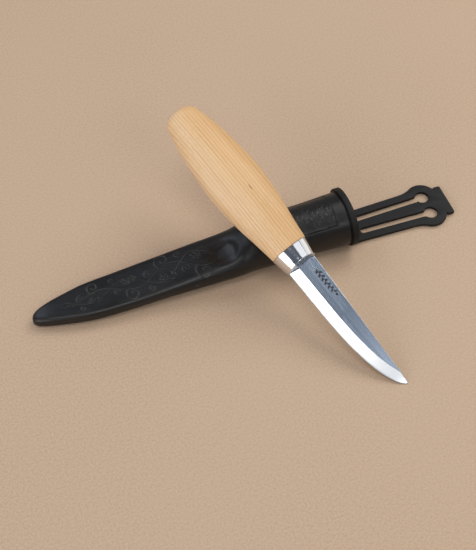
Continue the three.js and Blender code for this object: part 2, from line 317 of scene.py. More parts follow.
def birch():
    warm_light, warm_deep = rgb(0.78, 0.495, 0.235), rgb(0.74, 0.44, 0.185)
    # The pale pair is painted light: the colour of the grip's side that the lamps light more.
    lit_side_light, lit_side_deep = rgb(0.84, 0.615, 0.385), rgb(0.8, 0.55, 0.31)
    late_wood = rgb(0.54, 0.26, 0.085)
    fibre_brown, painted_fibre_glint = rgb(0.6, 0.34, 0.14), rgb(0.95, 0.73, 0.46)
    fleck_brown, knot_brown = rgb(0.36, 0.19, 0.08), rgb(0.16, 0.07, 0.03)
    s = Surface("birch")
    # The fibres wander a little from side to side.
    wander = s.add(
        "TexNoise", {"Vector": s.scaled(s.local, (0.008, 0.02, 0.02)), "Scale": 1.0, "Detail": 1.0}, "Color"
    )
    centred = s.add("VectorMath", {0: wander, 1: (0.5, 0.5, 0.5)}, operation="SUBTRACT")
    swing = s.scaled(centred, (0.0, FIBRE_SWING, FIBRE_SWING))
    bent = s.add("VectorMath", {0: swing, 1: s.local}, operation="ADD")
    # Growth rings about a far pith, seen nearly on edge from above.
    part = s.tree.nodes.new("ShaderNodeSeparateXYZ")
    s.feed(part.inputs[0], bent)
    across = s.math("ADD", part.outputs[1], PITH_ACROSS)
    down = s.math("ADD", part.outputs[2], PITH_DOWN)
    squares = s.math("ADD", s.math("MULTIPLY", across, across), s.math("MULTIPLY", down, down))
    radius = s.math("SQRT", squares)
    uneven = s.math("MULTIPLY", s.noise((0.0015, 0.2, 0.2), detail=1.0, vector=bent), 0.9)
    ring = s.math("FRACT", s.math("ADD", s.math("DIVIDE", radius, RING_SPACING), uneven))
    late = s.math("MULTIPLY", s.remap(ring, 0.45, 0.88), s.remap(ring, 1.0, 0.93))
    strength = s.remap(s.noise((0.006, 0.22, 0.22), detail=1.0), 0.35, 0.65, 0.2, 0.62)
    fibre = s.noise((0.022, 2.3, 2.3), detail=4.0, roughness=0.6, vector=bent)
    fine = s.noise((0.1, 8.0, 8.0), detail=2.0, vector=bent)
    broad = s.noise((0.015, 0.13, 0.13), detail=1.0)
    # Painted light: the wood is painted paler on the edge's side, which the lamps light more, and warmer on
    # the spine's side.
    warm = s.mix(s.remap(broad, 0.35, 0.65), warm_deep, warm_light)
    pale = s.mix(s.remap(broad, 0.35, 0.65), lit_side_deep, lit_side_light)
    colour = s.mix(s.remap(part.outputs[1], -9.0, 11.0), warm, pale)
    colour = s.mix(s.math("MULTIPLY", late, strength), colour, late_wood)
    colour = s.mix(s.remap(fibre, 0.56, 0.32, 0.0, 0.38), colour, fibre_brown)
    # Painted glints: pale streaks along the fine fibres stand in for the wood's shine.
    colour = s.mix(s.remap(fine, 0.56, 0.75, 0.0, 0.3), colour, painted_fibre_glint)
    # Short dark flecks in the fibres, and one larger one on the top of the grip.
    flecks = s.noise((0.3, 3.2, 3.2), detail=1.0, vector=bent)
    colour = s.mix(s.remap(flecks, 0.7, 0.78, 0.0, 0.4), colour, fleck_brown)
    from_fleck = s.add("VectorMath", {0: s.local, 1: FLECK}, operation="SUBTRACT")
    reach = s.add("VectorMath", {0: s.scaled(from_fleck, (0.4, 3.0, 1.0))}, "Value", operation="LENGTH")
    colour = s.mix(s.remap(reach, 1.0, 0.35, 0.0, 0.85), colour, knot_brown)
    s.set(Base_Color=colour)
    s.set(Roughness=s.remap(fibre, 0.3, 0.7, 0.52, 0.42))
    height = s.math("ADD", s.math("MULTIPLY", fibre, 0.6), s.math("MULTIPLY", fine, 0.4))
    s.bump(height, 0.3, 0.05)
    s.shader.inputs["IOR"].default_value = 1.48
    return s.material


def brushed_steel():
    """The flats, brushed along the blade."""
    # Painted reflection: the steel's colours are tinted blue-grey and darkened, standing in for the bluish
    # sky that the flats mirror.
    line_dark, line_light, streak = rgb(0.42, 0.5, 0.61), rgb(0.48, 0.565, 0.68), rgb(0.6, 0.7, 0.83)
    s = Surface("brushed_steel")
    lines = s.noise((0.008, 3.0, 3.0), detail=3.0)
    streaks = s.noise((0.004, 0.9, 0.9), detail=2.0)
    colour = s.mix(s.remap(lines, 0.3, 0.7), line_dark, line_light)
    colour = s.mix(s.remap(streaks, 0.35, 0.7, 0.0, 0.75), colour, streak)
    s.set(Base_Color=colour, Metallic=1.0)
    s.set(Roughness=s.remap(lines, 0.3, 0.7, 0.2, 0.25))
    s.shader.inputs["Anisotropic"].default_value = 0.35
    return s.material


def ground_steel():
    """The bevels, ground across the blade and then honed."""
    s = Surface("ground_steel")
    lines = s.noise((7.0, 0.25, 0.25), detail=3.0, roughness=0.6)
    broad = s.noise((0.35, 0.05, 0.05), detail=1.0)
    s.set(Base_Color=s.mix(lines, rgb(0.88, 0.89, 0.9), rgb(0.95, 0.96, 0.97)), Metallic=1.0)
    rough = s.math("ADD", s.remap(lines, 0.3, 0.7, 0.3, 0.36), s.remap(broad, 0.3, 0.7, -0.02, 0.02))
    s.set(Roughness=rough)
    s.bump(lines, 0.15, 0.01)
    return s.material


def polished_steel():
    """The ferrule, polished round its sides and only pressed on its nose's face."""
    bright_low, bright_high, pressed = rgb(0.8, 0.8, 0.81), rgb(0.88, 0.88, 0.89), rgb(0.3, 0.31, 0.335)
    s = Surface("polished_steel")
    hoops = s.noise((6.0, 0.12, 0.12), detail=3.0, roughness=0.7)
    smears = s.noise((0.25, 0.3, 0.3), detail=2.0)
    colour = s.mix(smears, bright_low, bright_high)
    flattened = s.scaled(s.local, (0.0, 1.0, 1 / OVALNESS))
    radius = s.add("VectorMath", {0: flattened}, "Value", operation="LENGTH")
    face = s.remap(radius, FERRULE_FRONT_HALF - 0.35, FERRULE_FRONT_HALF - 0.8)
    mottle = s.noise((0.9, 0.9, 0.9), detail=3.0, roughness=0.65)
    patches = s.remap(mottle, 0.38, 0.6, 0.15, 0.7)
    colour = s.mix(s.math("MULTIPLY", face, patches), colour, pressed)
    s.set(Base_Color=colour, Metallic=1.0)
    dull = s.math("MULTIPLY", face, 0.16)
    wiped = s.math("ADD", s.remap(hoops, 0.35, 0.7, 0.07, 0.12), s.remap(smears, 0.4, 0.7, 0.0, 0.04))
    s.set(Roughness=s.math("ADD", wiped, dull))
    s.bump(s.math("ADD", hoops, s.math("MULTIPLY", s.math("MULTIPLY", face, mottle), 8.0)), 0.12, 0.01)
    return s.material


def etched():
    """The blade's mark."""
    s = Surface("etched_dark")
    grain = s.noise((6.0, 6.0, 6.0), detail=2.0)
    s.set(Base_Color=s.mix(grain, rgb(0.008, 0.009, 0.011), rgb(0.022, 0.025, 0.03)))
    s.set(Roughness=s.remap(grain, 0.3, 0.7, 0.45, 0.65))
    s.bump(grain, 0.2, 0.01)
    return s.material


def moulded(name, dark, light, rough_low, rough_high, dust, gloss):
    """Moulded plastic: fine grain, faint flow marks, worn high spots and a little dust."""
    worn_brown, dust_grey = rgb(0.07, 0.066, 0.05), rgb(0.42, 0.42, 0.43)
    s = Surface(name)
    grain = s.noise((5.5, 5.5, 5.5), detail=3.0, roughness=0.6)
    flow = s.noise((0.05, 0.22, 0.22), detail=2.0, distortion=0.6)
    scuffs = s.noise((0.5, 2.6, 2.6), detail=4.0, roughness=0.7)
    colour = s.mix(s.remap(flow, 0.3, 0.7), dark, light)
    worn = s.add("Attribute", {}, "Fac", attribute_name="relief")
    patchy = s.remap(s.noise((0.12, 0.12, 0.12), detail=2.0), 0.35, 0.65, 0.05, 0.36)
    colour = s.mix(s.math("MULTIPLY", worn, patchy), colour, worn_brown)
    cells = s.add("TexVoronoi", {"Vector": s.local, "Scale": 0.1, "Randomness": 1.0}, "Distance")
    specks = s.math("MULTIPLY", s.remap(cells, 0.026, 0.014), dust)
    colour = s.mix(specks, colour, dust_grey)
    s.set(Base_Color=colour)
    rough = s.remap(flow, 0.3, 0.7, rough_low, rough_high)
    s.set(Roughness=s.math("ADD", rough, s.remap(scuffs, 0.5, 0.75, 0.0, 0.1)))
    s.bump(s.math("ADD", grain, s.math("MULTIPLY", scuffs, 0.5)), 0.22, 0.02)
    s.shader.inputs["IOR"].default_value = 1.49
    s.shader.inputs["Specular IOR Level"].default_value = gloss
    return s.material


def paper_floor():
    """A plain pale board with a faint grain. Its nodes work in metres."""
    dark, light, broad_tone = rgb(0.48, 0.334, 0.222), rgb(0.6, 0.43, 0.296), rgb(0.575, 0.414, 0.285)
    s = Surface("pale_floor")
    geometry = s.add("NewGeometry", {}, "Position")
    fibres = s.add("TexNoise", {"Vector": geometry, "Scale": 900.0, "Detail": 3.0, "Roughness": 0.7})
    broad = s.add("TexNoise", {"Vector": geometry, "Scale": 6.0, "Detail": 2.0})
    colour = s.mix(s.remap(fibres, 0.3, 0.7), dark, light)
    colour = s.mix(s.remap(broad, 0.3, 0.7, 0.0, 0.3), colour, broad_tone)
    s.set(Base_Color=colour, Roughness=0.85)
    s.bump(fibres, 0.15, 0.1)
    return s.material


def sheath_plastic():
    dark, light = rgb(0.0076, 0.0066, 0.0062), rgb(0.0106, 0.0095, 0.009)
    return moulded("sheath_plastic", dark, light, rough_low=0.31, rough_high=0.38, dust=0.8, gloss=0.38)


def hanger_plastic():
    dark, light = rgb(0.0085, 0.0085, 0.0085), rgb(0.0125, 0.0125, 0.012)
    return moulded("hanger_plastic", dark, light, rough_low=0.5, rough_high=0.6, dust=0.4, gloss=0.22)


BIRCH = birch()
BRUSHED = brushed_steel()
GROUND = ground_steel()
POLISHED = polished_steel()
ETCHED = etched()
SHEATH_PLASTIC = sheath_plastic()
HANGER_PLASTIC = hanger_plastic()

# ---- where the knife lies ----


def knife_matrix():
    """Takes points in the knife's frame to the part's frame, in millimetres."""
    turn = (
        Matrix.Rotation(math.radians(HEADING), 4, "Z")
        @ Matrix.Rotation(math.radians(-SLOPE), 4, "Y")
        @ Matrix.Rotation(math.radians(ROLL), 4, "X")
    )
    origin = Vector(POINT) - turn @ Vector((0, POINT_Y, 0))
    return np.array(Matrix.Translation(origin) @ turn)


KNIFE = knife_matrix()
TO_KNIFE = np.linalg.inv(KNIFE)
SHEATH = np.eye(4)

# ---- the blade ----


def spine_y(x):
    return POINT_Y + (SPINE_Y - POINT_Y) * x / BLADE_LENGTH


def edge_y(x):
    along = np.maximum(0, (BELLY_START - x) / BELLY_START)
    return POINT_Y + (EDGE_Y - POINT_Y) * (1 - along**BELLY_POWER) ** BELLY_FULLNESS


def nose_x(y):
    return NOSE_X + SWEEP_Y * (y / FERRULE_FRONT_HALF) ** 2


# The narrow honed bevel isn't in the CAD.
HONED_WIDTH = 0.45
HONED_SLOPE = math.tan(math.radians(20))
# Half the thickness of the edge, and how far the spine's corners are eased.
KEEN = 0.03
SPINE_EASE = 0.22
BEVEL_MOST = 0.96
ROOT_BLEND = 8.0
ROOT_GAP = 0.06
# How many points blade_loop makes on each side, and which of its strips are ground.
BLADE_SIDE = 7
BLADE_COLUMNS = 2 * BLADE_SIDE
GROUND_STRIPS = (0, 1, BLADE_COLUMNS - 3, BLADE_COLUMNS - 2, BLADE_COLUMNS - 1)


def blade_loop(x):
    """Edge, narrow honed bevel, bevel line, rounded spine and back, in the knife's frame."""
    edge, spine = edge_y(x), spine_y(x)
    width = edge - spine
    full = min(BEVEL_WIDTH, width)
    bevel = min(BEVEL_WIDTH, BEVEL_MOST * width)
    half = BLADE_HALF * full / BEVEL_WIDTH
    bevel_half = half * bevel / full
    keen = min(KEEN, half / 4)
    ease = min(SPINE_EASE, half / 2, 0.02 * width + 0.02)
    honed = min(HONED_WIDTH, 0.25 * bevel)
    side = [
        (edge - 0.1 * keen, keen),
        (edge - honed, min(keen + honed * HONED_SLOPE, 0.6 * bevel_half)),
        (edge - bevel, bevel_half),
        (edge - bevel - 0.02 * width, half),
        (spine + ease, half),
        (spine + 0.3 * ease, half - 0.3 * ease),
        (spine, half - ease),
    ]
    loop = [(x, y, z) for y, z in side] + [(x, y, -z) for y, z in reversed(side)]
    return np.array(loop)


def blade_stations():
    """Places along the blade, closest together at the point."""
    first, fine_end = 0.2, 20
    near_point = first + (fine_end - first) * np.linspace(0, 1, 70) ** 1.6
    return np.concatenate([near_point, np.linspace(fine_end, BLADE_LENGTH, 90)[1:]])


def tang_loops(shoulder):
    """The tang, from the blade's shoulders to just inside the ferrule's back."""
    start = shoulder.copy()
    start[:, 1] = TANG_CENTRE + np.clip(shoulder[:, 1] - TANG_CENTRE, -TANG_HALF, TANG_HALF)
    end = start.copy()
    end[:, 0] = FERRULE_BACK - 0.5
    return [start[None], end[None]]


def make_blade():
    loops = np.array([blade_loop(x) for x in blade_stations()])
    # The shoulders follow the ferrule's nose.
    share = smooth(loops[..., 0], BLADE_LENGTH - ROOT_BLEND, BLADE_LENGTH)
    loops[..., 0] += share * (nose_x(loops[..., 1]) - NOSE_X - ROOT_GAP)
    points, faces = tube(np.concatenate([loops, *tang_loops(loops[-1])]))
    blade = mesh_object("blade", place(points, KNIFE), faces)
    blade.data.materials.append(BRUSHED)
    blade.data.materials.append(GROUND)
    for face in blade.data.polygons:
        row, column = divmod(face.vertices[0], BLADE_COLUMNS)
        if face.loop_total == 4 and row < len(loops) - 1 and column in GROUND_STRIPS:
            face.material_index = 1
    finish_piece(blade, "knife", ["blade"], BRUSHED, TO_KNIFE, degrees=6)


# A generic sprig etched on the blade's flat: a stem with single leaves on alternate sides.
SPRIG_START, SPRIG_END = 76.5, 60.5
SPRIG_Y = -4.2
STEM_HALF = 0.2
STEM_SWAY, STEM_SWAY_LENGTH = 0.35, 16
LEAF = 2.2
LEAF_SPACING = 1.3
LEAF_LEAN = 180 - 42
MARK_SUNK, MARK_PROUD = 0.02, 0.015


def turned(outline, x, y, heading):
    """A flat outline turned by heading about its start and moved to x, y."""
    c, s = math.cos(heading), math.sin(heading)
    along, across = outline[:, 0], outline[:, 1]
    return np.stack([x + along * c - across * s, y + along * s + across * c], -1)


def leaf(x, y, heading, length):
    """An almond outline whose stalk is at x, y."""
    bulge = np.sin(np.linspace(0, math.pi, 9))
    along = np.linspace(0, 1, 9)
    upper = np.stack([along * length, 0.3 * length * bulge], -1)
    lower = np.stack([along[-2:0:-1] * length, -0.3 * length * bulge[-2:0:-1]], -1)
    return turned(np.concatenate([upper, lower]), x, y, heading)


def plates(outlines, low, high):
    """Thin flat plates, one for each outline."""
    points, faces = [], []
    for outline in outlines:
        count, first = len(outline), len(points)
        points += [(x, y, low) for x, y in outline] + [(x, y, high) for x, y in outline]
        faces.append(list(range(first + count - 1, first - 1, -1)))
        faces.append(list(range(first + count, first + 2 * count)))
        for k in range(count):
            n = (k + 1) % count
            faces.append([first + k, first + n, first + count + n, first + count + k])
    return np.array(points), faces


def stem_y(x):
    return SPRIG_Y + STEM_SWAY * math.sin((SPRIG_START - x) / STEM_SWAY_LENGTH * math.pi)


def sprig_outlines():
    """The stem, then a leaf at each step along it, then the leaf at its end."""
    stem_x = np.linspace(SPRIG_END, SPRIG_START, 24)
    stem = [(x, stem_y(x) - STEM_HALF) for x in stem_x] + [(x, stem_y(x) + STEM_HALF) for x in stem_x[::-1]]
    outlines = [np.array(stem)]
    for k, x in enumerate(np.arange(SPRIG_START - 0.6, SPRIG_END + 1.0, -LEAF_SPACING)):
        way = 1 if k % 2 == 0 else -1
        stalk_y = stem_y(x) + STEM_HALF * way
        outlines.append(leaf(x, stalk_y, way * math.radians(LEAF_LEAN), LEAF * (1 - 0.02 * k)))
    outlines.append(leaf(SPRIG_END - 0.15, stem_y(SPRIG_END), math.pi, LEAF * 0.9))
    return outlines


def make_mark():
    points, faces = plates(sprig_outlines(), BLADE_HALF - MARK_SUNK, BLADE_HALF + MARK_PROUD)
    mark = mesh_object("blade_mark", place(points, KNIFE), faces)
    finish_piece(mark, "knife", [], ETCHED, TO_KNIFE)


# ---- the ferrule ----

ROUND_SIDES = 144
RIM_STEPS = 6
FERRULE_WALL = 0.8
FERRULE_BOW = 0.12
RIM_ROUND = 0.55
NOSE_DISH = 0.35
SLOT_GAP = 0.1


def ferrule_ring(x, half, swept):
    """A ring whose front follows the nose's saddle shape when swept is 1."""
    angle = turns(ROUND_SIDES)
    sweep = SWEEP_Y * np.cos(angle) ** 2 + SWEEP_Z * np.sin(angle) ** 2
    return np.stack([x + swept * sweep, half * np.cos(angle), half * OVALNESS * np.sin(angle)], -1)


def ferrule_skin(inset, back_x):
    """The ferrule's skin moved inwards by inset, from the middle of its nose to back_x."""
    nose, half = NOSE_X + inset, FERRULE_FRONT_HALF - inset
    face_half = half - RIM_ROUND
    rings = []
    for share in np.linspace(0.12, 1, 9):
        dish = NOSE_DISH * (1 - smooth(share, 0.86, 1.0)) if inset == 0 else 0
        rings.append(ferrule_ring(nose + dish, face_half * share, share**2))
    for k in range(1, RIM_STEPS + 1):
        bend = k / RIM_STEPS * math.pi / 2
        x = nose + RIM_ROUND * (1 - math.cos(bend))
        rings.append(ferrule_ring(x, face_half + RIM_ROUND * math.sin(bend), 1))
    back_half = FERRULE_BACK_HALF - inset
    front_x = NOSE_X + inset + RIM_ROUND
    for share in np.linspace(0, 1, 14)[1:]:
        bow = FERRULE_BOW * math.sin(share * math.pi)
        ring = ferrule_ring(0, half + (back_half - half) * share + bow, 1 - share)
        ring[:, 0] += front_x + (back_x - front_x) * share
        rings.append(ring)
    return rings


def cut_out(piece, name, points, faces):
    """Cuts a form out of piece. The form's points are in the knife's frame."""
    return combine(piece, mesh_object(name, place(points, KNIFE), faces), "DIFFERENCE")


def tang_slot():
    """A block as wide and as thick as the tang with its gap, through the ferrule's nose."""
    half_y, half_z = TANG_HALF + SLOT_GAP, BLADE_HALF + SLOT_GAP
    corners = ((1, -1), (1, 1), (-1, 1), (-1, -1))
    loop = np.array([(0, TANG_CENTRE + half_y * y, half_z * z) for y, z in corners])
    return tube(np.array([loop + (x, 0, 0) for x in (NOSE_X - 2, NOSE_X + 5)]))


def make_ferrule():
    points, faces = tube(ferrule_skin(0, FERRULE_BACK))
    ferrule = mesh_object("ferrule", place(points, KNIFE), faces)
    ferrule = cut_out(ferrule, "bore", *tube(ferrule_skin(FERRULE_WALL, FERRULE_BACK + 1)))
    ferrule = cut_out(ferrule, "slot", *tang_slot())
    finish_piece(ferrule, "knife", ["ferrule"], POLISHED, TO_KNIFE, degrees=32)


# ---- the handle ----

HANDLE_SIDES = 128
HANDLE_EASE = 0.35


def through(points, per_span):
    """A smooth line (Catmull-Rom) through points."""
    p = np.array([points[0], *points, points[-1]], float)
    p[0] = 2 * p[1] - p[2]
    p[-1] = 2 * p[-2] - p[-3]
    line = []
    for a, b, c, d in zip(p, p[1:], p[2:], p[3:]):
        for t in np.linspace(0, 1, per_span, endpoint=False):
            square = (2 * a - 5 * b + 4 * c - d) * t**2
            cube = (3 * b - a - 3 * c + d) * t**3
            line.append(0.5 * (2 * b + (c - a) * t + square + cube))
    return [*line, p[-2]]


def handle_outline():
    """Places along the knife and half widths, from the front's eased rim to the middle of the butt."""
    grip = through(HANDLE_OUTLINE, 18)
    front_x, front_half = grip[0]
    ease = HANDLE_EASE
    outline = [(front_x, front_half - ease), (front_x + 0.3 * ease, front_half - 0.3 * ease)]
    outline += [p for p in grip if p[0] > front_x + ease]
    end_x, end_half = outline[-1]
    for share in np.sin(np.linspace(0, math.pi / 2, 22))[1:]:
        curve = (1 - math.sqrt(max(0, 1 - share**2))) * (1 - BUTT_CONE) + share * BUTT_CONE
        outline.append((end_x + BUTT_ROUND * share, end_half * (1 - BUTT_FALL * curve)))
    last_x, last_half = outline[-1]
    outline += [(last_x + 0.12 * t, last_half * (1 - t)) for t in (0.25, 0.5, 0.75, 0.92)]
    return outline


def hand_sanded(loops):
    """Makes the turned loops a little untrue, as turning and sanding by hand leaves them."""
    angle = turns(HANDLE_SIDES)[None, :]
    x = loops[..., 0]
    wave = np.sin(x / 9 + 2 * angle) * 0.035
    wave = wave + np.sin(x / 5.3 - 3 * angle + 1) * 0.025
    wave = wave + np.sin(x / 14 + angle) * 0.05
    loops[..., 1] += wave * np.cos(angle)
    loops[..., 2] += wave * np.sin(angle)
    return loops


def make_handle():
    loops = np.array([oval(x, half, half * OVALNESS, HANDLE_SIDES) for x, half in handle_outline()])
    points, faces = tube(hand_sanded(loops))
    handle = mesh_object("handle", place(points, KNIFE), faces)
    finish_piece(handle, "knife", ["handle"], BIRCH, TO_KNIFE, degrees=40)


# ---- the sheath ----

# How many points a loop has above and below its waist, on the sheath and on the hanger's ring.
SHEATH_POINTS = (168, 56)
RING_POINTS = (120, 80)
TOP_POINTS = SHEATH_POINTS[0]


def section(x):
    """Half width, top, waist and squarenesses at x, eased between the stations."""
    last = len(STATIONS) - 1
    k = int(np.clip(np.searchsorted(STATIONS[:, 0], x, side="right") - 1, 0, last - 1))
    span = STATIONS[k + 1, 0] - STATIONS[k, 0]
    t = (x - STATIONS[k, 0]) / span

    def slope(i):
        before, after = STATIONS[max(i - 1, 0)], STATIONS[min(i + 1, last)]
        return (after[1:] - before[1:]) / (after[0] - before[0])

    return (
        (2 * t**3 - 3 * t**2 + 1) * STATIONS[k, 1:]
        + (t**3 - 2 * t**2 + t) * span * slope(k)
        + (3 * t**2 - 2 * t**3) * STATIONS[k + 1, 1:]
        + (t**3 - t**2) * span * slope(k + 1)
    )


def even(points, count):
    """count points along a line of points, evenly apart, without the last."""
    lengths = np.concatenate([[0], np.cumsum(np.linalg.norm(np.diff(points, axis=0), axis=1))])
    at = np.linspace(0, lengths[-1], count, endpoint=False)
    return np.stack([np.interp(at, lengths, points[:, k]) for k in range(points.shape[1])], -1)


def flat_backed(x, half, bottom, top, waist, above, below, counts):
    """A superellipse loop that is cut flat at the bottom, with its points evenly apart."""
    middle = bottom + (top - bottom) * waist
    angle = np.linspace(0, math.pi, 1200)
    c, s = np.cos(angle), np.sin(angle)
    up = middle + s ** (2 / above) * (top - middle)
    over = np.stack([np.sign(c) * np.abs(c) ** (2 / above) * half, up], -1)
    down = middle - s ** (2 / below) * BACK_DEPTH * (middle - bottom)
    under = np.stack([-np.sign(c) * np.abs(c) ** (2 / below) * half, np.maximum(down, bottom)], -1)
    yz = np.concatenate([even(over, counts[0]), even(under, counts[1])])
    return np.concatenate([np.full((len(yz), 1), x), yz], 1)


def sheath_loop(x, inset=0.0):
    half, top, waist, above, below = section(x)
    return flat_backed(x, half - inset, inset, top - inset, waist, above, below, SHEATH_POINTS)


def mouth_loop(x, inset, counts=SHEATH_POINTS):
    """A loop of the ring's outside, moved inwards by inset."""
    half, top, squareness = RING_HALF - inset, RING_TOP - inset, RING_SQUARENESS
    return flat_backed(x, half, inset, top, 0.5, squareness, squareness, counts)


def distance_to(lines, x, y):
    """Distance from each point to the nearest of some lines of points."""
    nearest = np.full(x.shape, 1e3)
    for line in lines:
        line = np.asarray(line)
        a, b = line[:-1], line[1:]
        d = b - a
        length = (d**2).sum(1)
        low, high = line.min(0) - 1, line.max(0) + 1
        near = (x > low[0]) & (x < high[0]) & (y > low[1]) & (y < high[1])
        px, py = x[near][:, None], y[near][:, None]
        t = np.clip(((px - a[:, 0]) * d[:, 0] + (py - a[:, 1]) * d[:, 1]) / length, 0, 1)
        gap = np.hypot(px - a[:, 0] - t * d[:, 0], py - a[:, 1] - t * d[:, 1]).min(1)
        nearest[near] = np.minimum(nearest[near], gap)
    return nearest


def curl(x, y, heading, radius, side, coils):
    """A scroll that starts at x, y and winds inwards. side is 1 or -1."""
    t = np.linspace(0, 1, 40)
    size = radius * (1 - 0.82 * t)
    angle = heading + side * (2 * math.pi * coils * t - math.pi / 2)
    first = heading - side * math.pi / 2
    middle = np.array([x, y]) - radius * np.array([math.cos(first), math.sin(first)])
    return np.stack([middle[0] + size * np.cos(angle), middle[1] + size * np.sin(angle)], -1)


def petal(x, y, heading, length, width):
    """A pointed leaf outline from its stalk at x, y."""
    t = np.linspace(0, 1, 14)
    out = np.stack([t * length, width * np.sin(t * math.pi) ** 0.8], -1)
    back = np.stack([t[::-1] * length, -width * np.sin(t[::-1] * math.pi) ** 0.8], -1)
    return turned(np.concatenate([out, back[1:]]), x, y, heading)


VINE_START, VINE_END, VINE_BENDS = -50.5, -131.0, 4
VINE_PITCH = (VINE_END - VINE_START) / VINE_BENDS
VINE_SWAY, VINE_SWAY_LOSS = 7.4, 4.2
VINE_SHRINK = 0.42
# Three leaves at each bend: how far each leans from the stem, in degrees, and its length.
BEND_LEAVES = ((20, 6.2), (52, 5.0), (-14, 4.6))


def sway(x):
    """The first stem's y."""
    share = (x - VINE_START) / (VINE_END - VINE_START)
    return (VINE_SWAY - VINE_SWAY_LOSS * share) * np.sin((x - VINE_START) / VINE_PITCH * math.pi)


def bend_lines(bend):
    """The scrolls and leaves at one bend of the vine. They get smaller towards the sheath's tip."""
    side = 1 if bend % 2 == 0 else -1
    crest = VINE_START + (bend + 0.5) * VINE_PITCH
    size = 1 - VINE_SHRINK * (bend + 0.5) / VINE_BENDS
    # The big scroll fills the hollow of the bend; two smaller ones leave it the other way.
    lines = [
        curl(crest + 3.5, -side * 2.4 * size, math.pi, 6.4 * size, side, 1.2),
        curl(crest - 6.6 * size, -side * 5.4 * size, math.pi * 0.9, 3.0 * size, -side, 1.2),
        curl(crest - 7.5 * size, side * 6.4 * size, math.pi * 1.05, 2.4 * size, -side, 1.1),
    ]
    for lean, reach in BEND_LEAVES:
        heading = math.radians(180 - side * lean)
        lines.append(petal(crest + 4.5 * size, side * 2.6 * size, heading, reach * size, 1.15 * size))
    outer_heading, inner_heading = math.radians(side * 200), math.radians(side * 65)
    lines.append(petal(crest + 8.0 * size, side * 7.0 * size, outer_heading, 4.6 * size, 0.9 * size))
    lines.append(petal(crest + 7.5 * size, side * 1.5, inner_heading, 4.2 * size, 0.9 * size))
    return lines


def scrollwork():
    """A generic vine along the sheath's face: two stems round each other, with scrolls and leaves."""
    x = np.linspace(VINE_START, VINE_END, 200)
    lines = [np.stack([x, sway(x)], -1), np.stack([x, -0.8 * sway(x + 0.3 * VINE_PITCH)], -1)]
    for bend in range(VINE_BENDS):
        lines += bend_lines(bend)
    lines.append(petal(VINE_END, sway(VINE_END), math.pi, 5.5, 1.3))
    lines.append(curl(VINE_END + 5, 2.6, math.pi, 2.2, 1, 1.1))
    return lines


# The panel on the barrel, with a groove round it and rows of leaves in it.
PANEL_FROM, PANEL_TO, PANEL_HALF = -13.0, 19.0, 12.0
COLUMN_STEP, ROW_STEP = 4.4, 3.4
GROOVE_DEPTH, GROOVE_SPREAD = 0.42, 0.3
PANEL_DEPTH = 0.08
SPRIG_HEIGHT, SPRIG_SPREAD = 0.1, 0.26
VINE_HEIGHT, VINE_SPREAD = 0.16, 0.24
# A thumb-sized scoop where the ramp starts, which isn't in the CAD: its middle, its lengths towards the
# tip and towards the mouth, its half width and its depth.
DENT_X, DENT_Y, DENT_RUN, DENT_WALL, DENT_WIDE, DENT_DEPTH = -42.0, -2.0, 15.0, 6.2, 9.0, 0.9
LIP_ROUND = 0.5


def sprigs():
    """Rows of small leaves that fill the barrel's panel. y is measured round the barrel."""
    lines = []
    for column, x in enumerate(np.arange(PANEL_FROM + 3.5, PANEL_TO - 2, COLUMN_STEP)):
        for row, y in enumerate(np.arange(-PANEL_HALF + 2.6, PANEL_HALF - 2, ROW_STEP)):
            lean = 1 if (row + column) % 2 == 0 else -1
            lines.append(curl(x - 0.2, y, math.radians(60 * lean), 1.05, lean, 0.9))
            lines.append(petal(x + 0.9, y + 0.7 * lean, math.radians(35 * lean), 1.7, 0.4))
    return lines


def skin_stations():
    """Places along the sheath, closest together at the tip, along the vine and along the panel."""
    spans = [
        TIP_X + 18 * np.linspace(0, 1, 40) ** 1.7,
        np.arange(-134, -54, 0.3),
        np.arange(-54, -16, 0.7),
        np.arange(-16, 22, 0.3),
        np.arange(22, LIP_X - LIP_ROUND, 0.5),
    ]
    return np.unique(np.round(np.concatenate(spans), 3))


def round_the_barrel(outer):
    """Each point's length round its loop from the ridge, positive on the +Y side."""
    steps = np.linalg.norm(np.diff(outer[:, :TOP_POINTS, 1:], axis=1), axis=2)
    around = np.zeros(outer.shape[:2])
    around[:, 1:TOP_POINTS] = np.cumsum(steps, axis=1)
    around[:, :TOP_POINTS] = around[:, TOP_POINTS // 2][:, None] - around[:, :TOP_POINTS]
    return around


def ridge(gap, spread):
    """A soft ridge, 1 where gap is 0."""
    return np.exp(-((gap / spread) ** 2))


def skin_relief(outer):
    """How far each point of the skin moves out, and the share of the vine in it."""
    x, y = outer[..., 0], outer[..., 1]
    on_top = (np.arange(outer.shape[1]) < TOP_POINTS)[None, :]
    around = round_the_barrel(outer)
    vine = ridge(distance_to(scrollwork(), x, y), VINE_SPREAD) * on_top
    height = VINE_HEIGHT * vine
    # The scoop deepens slowly from the tip's side and ends in a steep wall.
    dent_length = np.where(x < DENT_X, DENT_RUN, DENT_WALL)
    dent_reach = np.hypot((x - DENT_X) / dent_length, (y - DENT_Y) / DENT_WIDE)
    height -= DENT_DEPTH * smooth(1 - dent_reach, 0, 0.62) * on_top
    # The panel.
    edge_gap = np.maximum(np.maximum(PANEL_FROM - x, x - PANEL_TO), np.abs(around) - PANEL_HALF)
    height -= GROOVE_DEPTH * (ridge(edge_gap, GROOVE_SPREAD) * on_top)
    inside = smooth(-edge_gap, 0.3, 0.9) * on_top
    height -= PANEL_DEPTH * inside
    height += SPRIG_HEIGHT * (ridge(distance_to(sprigs(), x, around), SPRIG_SPREAD) * inside)
    return height, np.clip(vine, 0, 1)


def skin_normals(outer):
    """Normals from the grid's own directions."""
    along = np.gradient(outer, axis=0)
    ringwise = np.roll(outer, -1, axis=1) - np.roll(outer, 1, axis=1)
    normal = np.cross(ringwise, along)
    normal /= np.linalg.norm(normal, axis=2, keepdims=True)
    return normal


